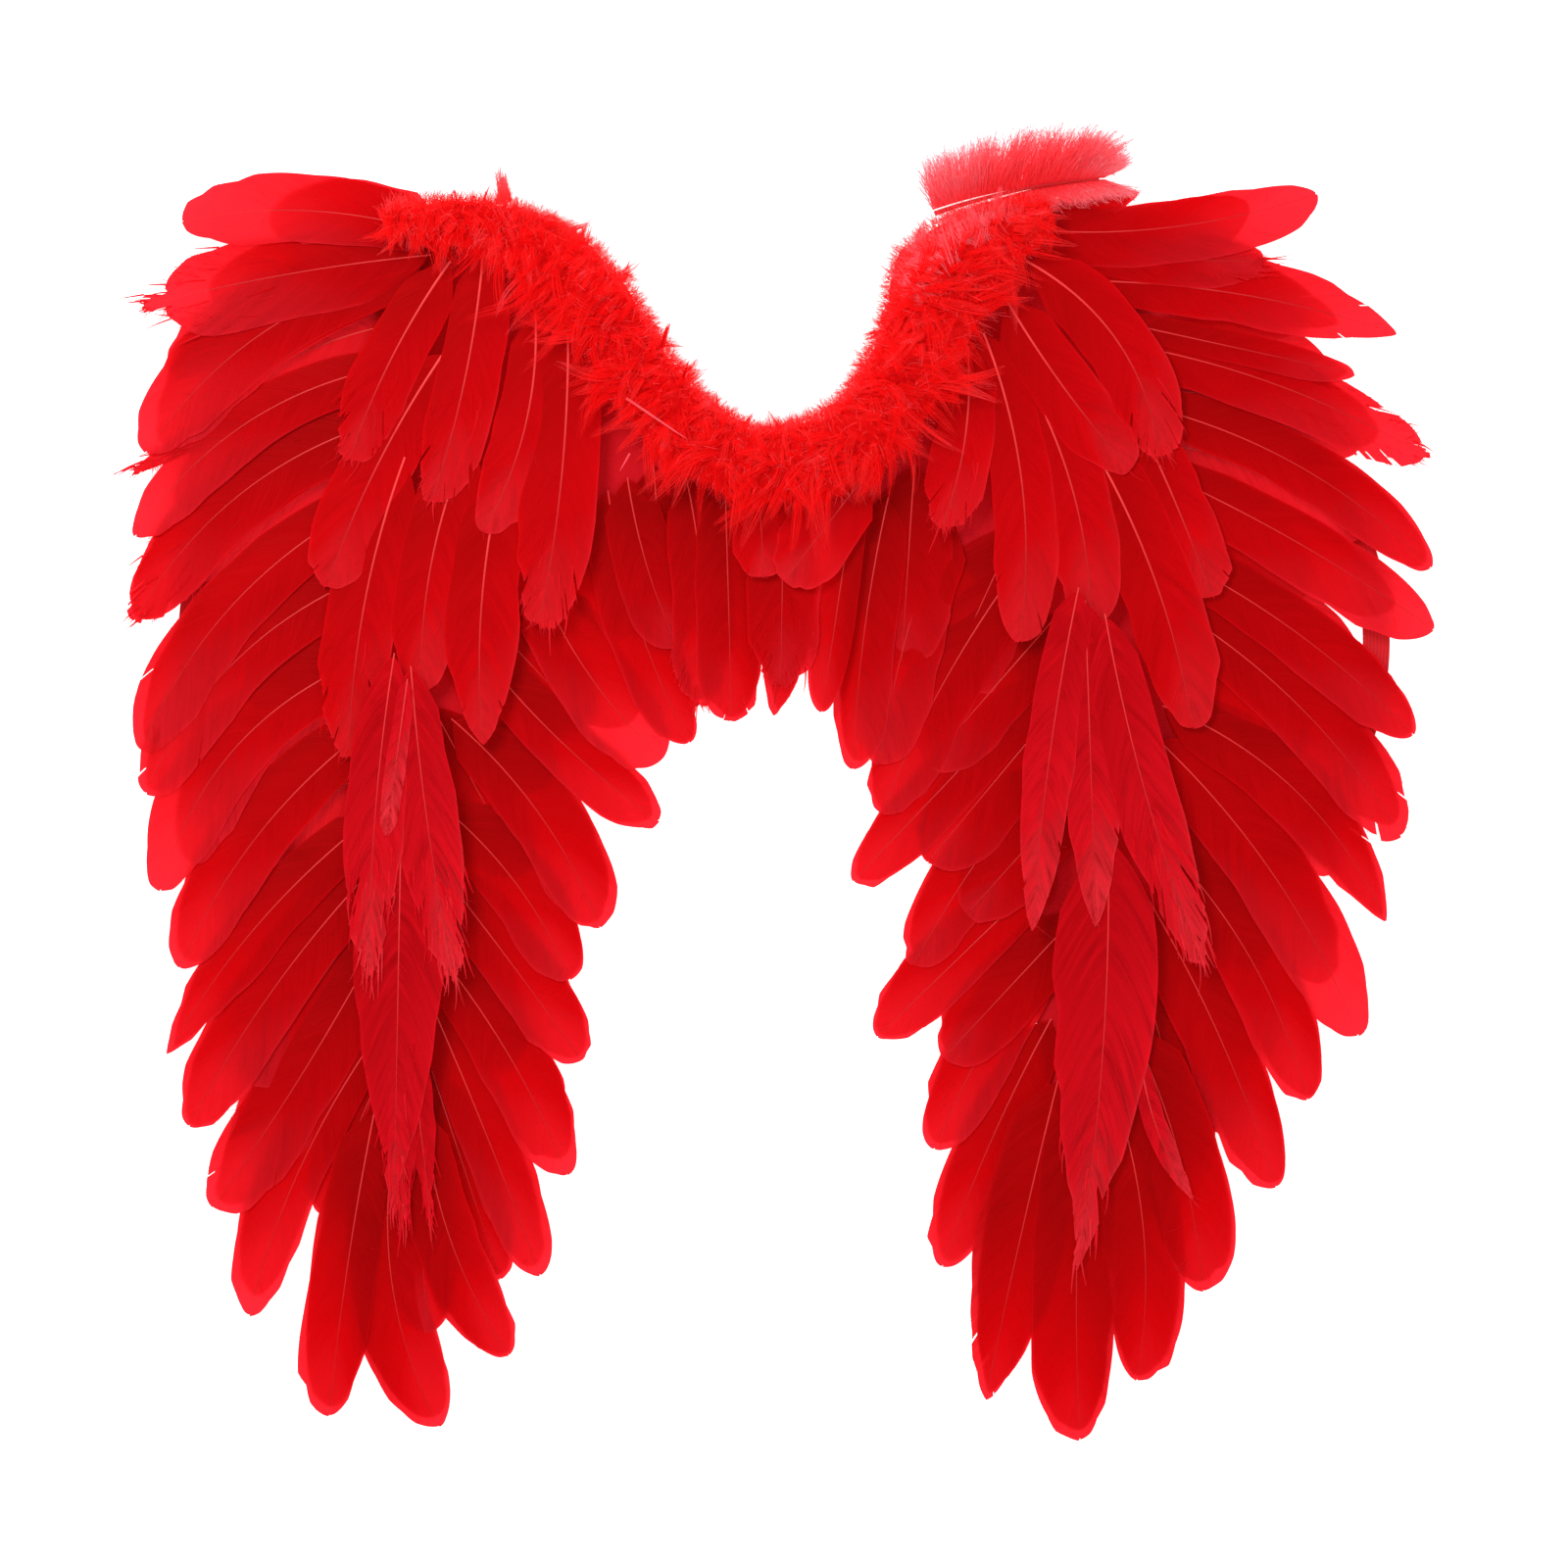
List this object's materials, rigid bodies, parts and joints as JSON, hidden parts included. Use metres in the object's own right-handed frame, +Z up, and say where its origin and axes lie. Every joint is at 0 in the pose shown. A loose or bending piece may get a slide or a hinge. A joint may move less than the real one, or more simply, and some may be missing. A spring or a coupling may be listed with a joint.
{
  "type": "costume angel wings",
  "caption": "Pair of red feather costume angel wings with a fluffy trim along the upper edge and flat elastic arm loops, lying face up.",
  "frame": {"origin": "on the floor, below the middle of the wings' bounding box", "axes": "+X to the right and +Y towards the upper edge as the wings are looked at, +Z up from the floor out of the feathered side"},
  "size_m": [0.602, 0.6018, 0.0345],
  "materials": {
    "feather_vane": "dyed red feather, thin vane with fine barbs",
    "spine_plume": "dusty red feather with ragged barbs",
    "marabou": "soft red fluff",
    "elastic": "woven red elastic tape",
    "panel_cloth": "plain red felt"
  },
  "bodies": {
    "root": {"back_panel": "panel_cloth", "elastic_strap_left": "elastic", "elastic_strap_right": "elastic", "under_row_left": "feather_vane", "under_row_right": "feather_vane", "inner_row_left": "feather_vane", "inner_row_right": "feather_vane", "outer_row_left": "feather_vane", "outer_row_right": "feather_vane", "centre_row": "feather_vane", "tip_fan_left": "feather_vane", "tip_fan_right": "feather_vane", "covert_row_left": "feather_vane", "covert_row_right": "feather_vane", "centre_coverts": "feather_vane", "marabou_plume": "marabou", "spine_row_left": "spine_plume", "spine_row_right": "spine_plume", "marabou_trim_left": "marabou", "marabou_trim_centre": "marabou", "marabou_trim_right": "marabou"}
  },
  "joints": []
}
